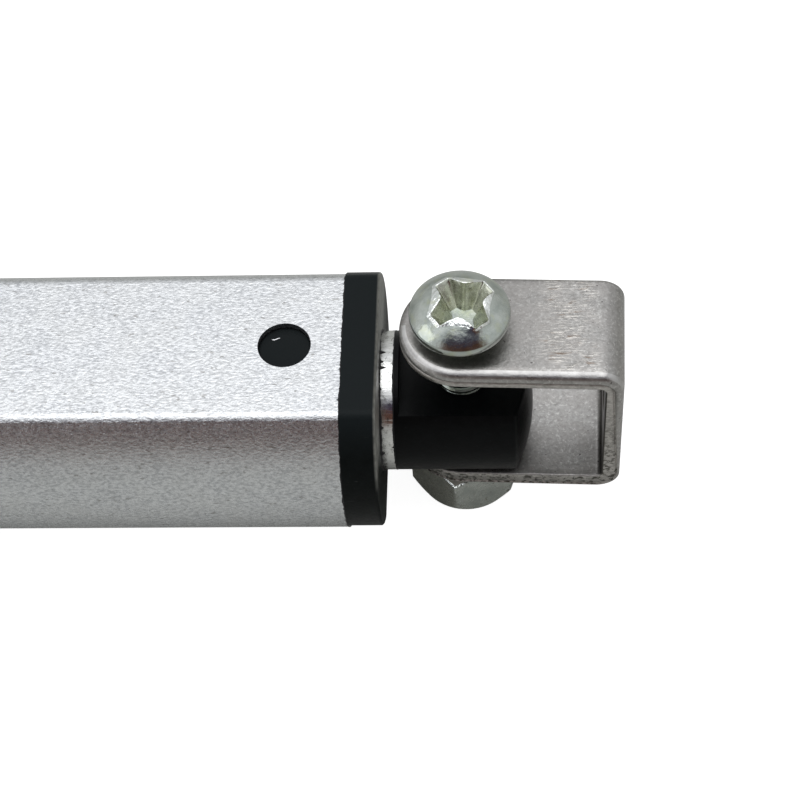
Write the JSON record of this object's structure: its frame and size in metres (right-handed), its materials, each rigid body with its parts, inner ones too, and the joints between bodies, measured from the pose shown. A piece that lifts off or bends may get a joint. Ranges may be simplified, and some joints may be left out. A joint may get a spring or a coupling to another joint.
{
  "type": "micro linear actuator",
  "caption": "Slim electric linear actuator: flattened round aluminium tube, screw driven rod, plastic end caps, rear eye and a swinging U bracket on the rod end.",
  "frame": {"origin": "centre of the rear mounting eye's bore", "axes": "+X along the rod towards the bracket, +Z along the bores of the eye and the pivot"},
  "size_m": [0.1718, 0.02, 0.0233],
  "materials": {
    "anodised_tube": "fine satin anodised extrusion",
    "black_cap": "moulded black plastic",
    "guide_plastic": "low friction acetal",
    "bronze": "sintered bronze",
    "rubber": "black rubber",
    "zinc_steel": "bright zinc plated steel",
    "nut_steel": "plain zinc plated steel",
    "bearing_steel": "ground bearing steel",
    "spring_steel": "blackened spring steel",
    "brass": "cut brass",
    "screw_steel": "rolled steel thread",
    "motor_steel": "drawn plated steel can",
    "magnet": "sintered ferrite",
    "lamination": "stacked iron sheets",
    "copper": "enamelled copper",
    "lead_insulation": "silicone insulated wire",
    "circuit_board": "green solder mask",
    "switch_black": "moulded switch case",
    "plunger_white": "white plunger",
    "polished_rod": "polished steel",
    "rod_end_plastic": "satin black plastic",
    "bracket_steel": "stamped stainless sheet"
  },
  "bodies": {
    "housing": {"housing_tube": "anodised_tube", "front_cap": "black_cap", "rod_guide_bush": "bronze", "rod_seal": "rubber", "rear_cap": "black_cap", "cable_grommet": "rubber", "bearing_block": "black_cap", "block_screws": "zinc_steel", "bearing_outer_race": "bearing_steel", "gearbox_front_plate": "brass", "gearbox_rear_plate": "brass", "gearbox_pillars": "brass", "gearbox_screws": "zinc_steel", "gear_arbor": "bearing_steel", "output_bush": "bronze", "motor_can": "motor_steel", "motor_front_bush": "bronze", "motor_screws": "zinc_steel", "motor_magnets": "magnet", "motor_end_bell": "black_cap", "motor_rear_bush": "bronze", "motor_brushes": "copper", "motor_terminals": "zinc_steel", "motor_leads": "lead_insulation", "switch_board": "circuit_board", "switch_diodes": "switch_black", "front_limit_switch": "switch_black", "rear_limit_switch": "switch_black"},
    "rotor": {"motor_shaft": "bearing_steel", "motor_pinion": "brass", "armature_core": "lamination", "armature_windings": "copper", "commutator": "copper"},
    "first_gear": {"first_compound_gear": "brass"},
    "second_gear": {"second_compound_gear": "brass"},
    "third_gear": {"third_compound_gear": "brass"},
    "screw": {"lead_screw": "screw_steel", "bearing_inner_race": "bearing_steel", "retaining_clip": "spring_steel", "coupling_sleeve": "screw_steel", "coupling_pins": "bearing_steel", "output_shaft": "bearing_steel", "output_gear": "brass"},
    "ball_train": {"bearing_balls": "bearing_steel", "bearing_cage": "brass"},
    "rod": {"rod_tube": "polished_rod", "nut_carriage": "guide_plastic", "lead_nut": "bronze", "rod_end": "rod_end_plastic"},
    "bracket": {"u_bracket": "bracket_steel", "pivot_screw": "zinc_steel", "pivot_nut": "nut_steel"},
    "front_plunger": {"front_switch_plunger": "plunger_white"},
    "rear_plunger": {"rear_switch_plunger": "plunger_white"}
  },
  "joints": [
    {"name": "motor_spin", "type": "hinge", "parent": "housing", "child": "rotor", "pos_m": [0.07, 0, 0], "axis": [-1, 0, 0], "range_deg": [0, 298598.4]},
    {"name": "first_gear_spin", "type": "hinge", "parent": "housing", "child": "first_gear", "pos_m": [0.07, 0.00425, 0], "axis": [-1, 0, 0], "range_deg": [-124416, 0]},
    {"name": "second_gear_spin", "type": "hinge", "parent": "housing", "child": "second_gear", "pos_m": [0.07, 0, 0], "axis": [-1, 0, 0], "range_deg": [0, 51840]},
    {"name": "third_gear_spin", "type": "hinge", "parent": "housing", "child": "third_gear", "pos_m": [0.07, 0.00425, 0], "axis": [-1, 0, 0], "range_deg": [-21600, 0]},
    {"name": "screw_spin", "type": "hinge", "parent": "housing", "child": "screw", "pos_m": [0.07, 0, 0], "axis": [-1, 0, 0], "range_deg": [0, 9000]},
    {"name": "ball_train_spin", "type": "hinge", "parent": "housing", "child": "ball_train", "pos_m": [0.07, 0, 0], "axis": [-1, 0, 0], "range_deg": [0, 3461.54]},
    {"name": "rod_slide", "type": "slide", "parent": "housing", "child": "rod", "axis": [1, 0, 0], "range_m": [0, 0.05]},
    {"name": "bracket_swing", "type": "hinge", "parent": "rod", "child": "bracket", "pos_m": [0.155, 0, 0], "axis": [0, 0, 1], "range_deg": [-90, 90]},
    {"name": "front_plunger_press", "type": "slide", "parent": "housing", "child": "front_plunger", "axis": [1, 0, 0], "range_m": [0, 0.0004], "stiffness_N_per_m": 200, "springref_m": -0.0002},
    {"name": "rear_plunger_press", "type": "slide", "parent": "housing", "child": "rear_plunger", "axis": [-1, 0, 0], "range_m": [0, 0.0004], "stiffness_N_per_m": 200, "springref_m": -0.0002}
  ],
  "couplings": [
    {"joint": "screw_spin", "follows": "rod_slide", "rad_per_m": 3141.6},
    {"joint": "ball_train_spin", "follows": "rod_slide", "rad_per_m": 1208.3},
    {"joint": "third_gear_spin", "follows": "rod_slide", "rad_per_m": -7539.8},
    {"joint": "second_gear_spin", "follows": "rod_slide", "rad_per_m": 18096},
    {"joint": "first_gear_spin", "follows": "rod_slide", "rad_per_m": -43429},
    {"joint": "motor_spin", "follows": "rod_slide", "rad_per_m": 104230}
  ]
}
